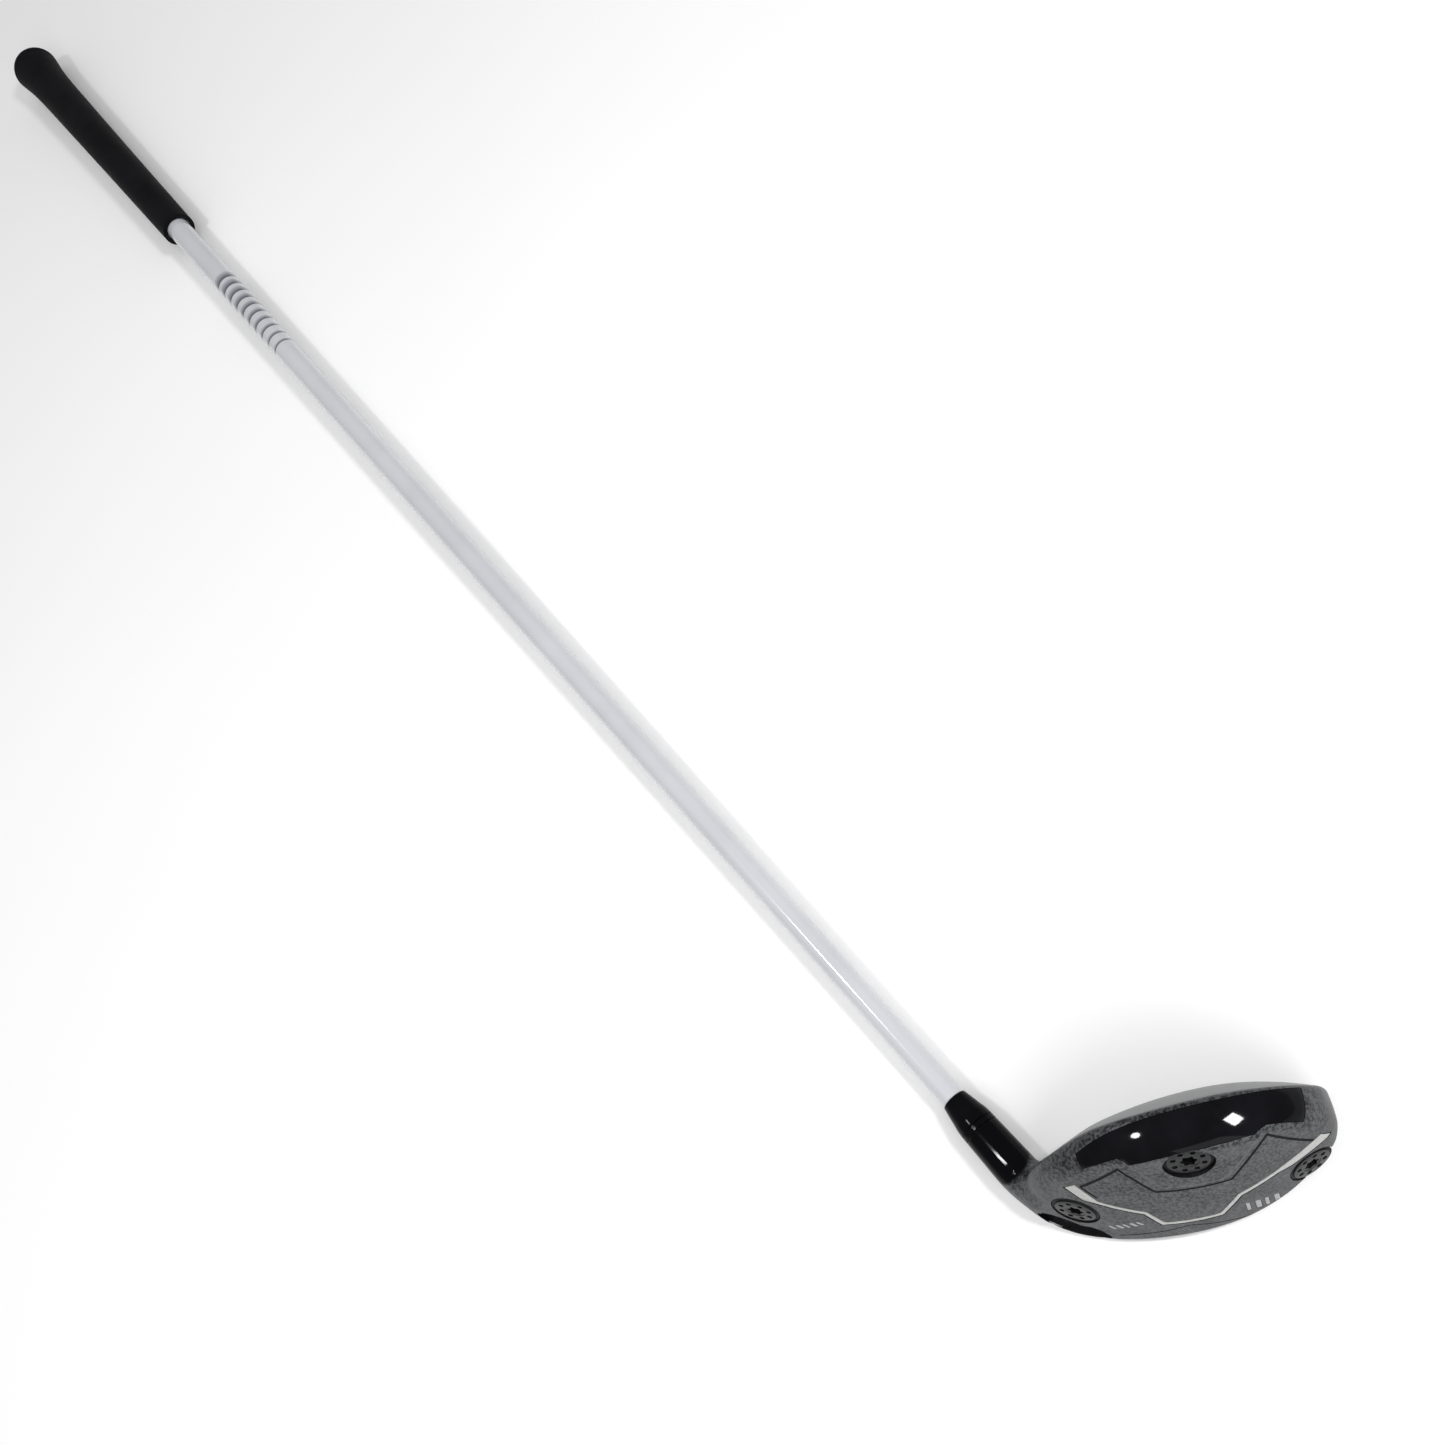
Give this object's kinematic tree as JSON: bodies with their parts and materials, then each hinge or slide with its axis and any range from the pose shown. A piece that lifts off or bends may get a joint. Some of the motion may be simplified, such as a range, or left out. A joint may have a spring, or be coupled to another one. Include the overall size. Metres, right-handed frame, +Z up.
{
  "type": "hybrid golf club",
  "caption": "Hybrid golf club with a hollow metal head, screw-in sole weights, adjustable hosel sleeve, tapered white shaft and rubber grip.",
  "frame": {"origin": "centre of the bounding box on the ground that the club lies on", "axes": "+X along the shaft from the grip to the head, +Y from the heel towards the toe, +Z up, away from the ground; the club lies face down with its sole facing +X"},
  "size_m": [1.0518, 0.1136, 0.0599],
  "materials": {
    "head_steel": "satin, bead blasted",
    "face_steel": "satin",
    "crown_paint": "matte",
    "gloss_black": "gloss",
    "weight_metal": "satin, dark",
    "screw_steel": "satin",
    "retainer_rubber": "matte",
    "shaft_white": "gloss lacquer over carbon fibre",
    "plug_plastic": "matte",
    "tape_paper": "matte",
    "grip_rubber": "matte, textured"
  },
  "bodies": {
    "head": {"head_body": "head_steel", "face_plate": "face_steel", "crown": "crown_paint", "rear_skirt_panel": "gloss_black", "screw_retainer": "retainer_rubber"},
    "heel_weight_body": {"heel_weight": "weight_metal"},
    "toe_weight_body": {"toe_weight": "weight_metal"},
    "rear_weight_body": {"rear_weight": "weight_metal"},
    "washer_body": {"screw_washer": "screw_steel"},
    "screw_body": {"hosel_screw": "screw_steel"},
    "shaft_body": {"adapter_sleeve": "gloss_black", "ferrule": "gloss_black", "shaft": "shaft_white", "tip_plug": "plug_plastic", "grip_tape": "tape_paper", "grip": "grip_rubber", "grip_cap": "grip_rubber"}
  },
  "joints": [
    {"name": "heel_weight_out", "type": "slide", "parent": "head", "child": "heel_weight_body", "axis": [0.5594, -0.7377, 0.3779], "range_m": [0, 0.012]},
    {"name": "toe_weight_out", "type": "slide", "parent": "head", "child": "toe_weight_body", "axis": [0.9694, -0.0875, 0.2292], "range_m": [0, 0.012]},
    {"name": "rear_weight_out", "type": "slide", "parent": "head", "child": "rear_weight_body", "axis": [0.796, -0.4318, 0.4241], "range_m": [0, 0.012]},
    {"name": "screw_out", "type": "slide", "parent": "head", "child": "washer_body", "axis": [1, 0, -0.0068], "range_m": [0, 0.008]},
    {"name": "screw_turn", "type": "hinge", "parent": "washer_body", "child": "screw_body", "pos_m": [0.46572, -0.04215, 0.0079], "axis": [1, 0, -0.0068], "range_deg": [0, 3600]},
    {"name": "shaft_pull", "type": "slide", "parent": "head", "child": "shaft_body", "axis": [-1, 0, 0.0068], "range_m": [0, 0.04]}
  ],
  "couplings": [
    {"joint": "screw_turn", "follows": "screw_out", "rad_per_m": 7854}
  ]
}
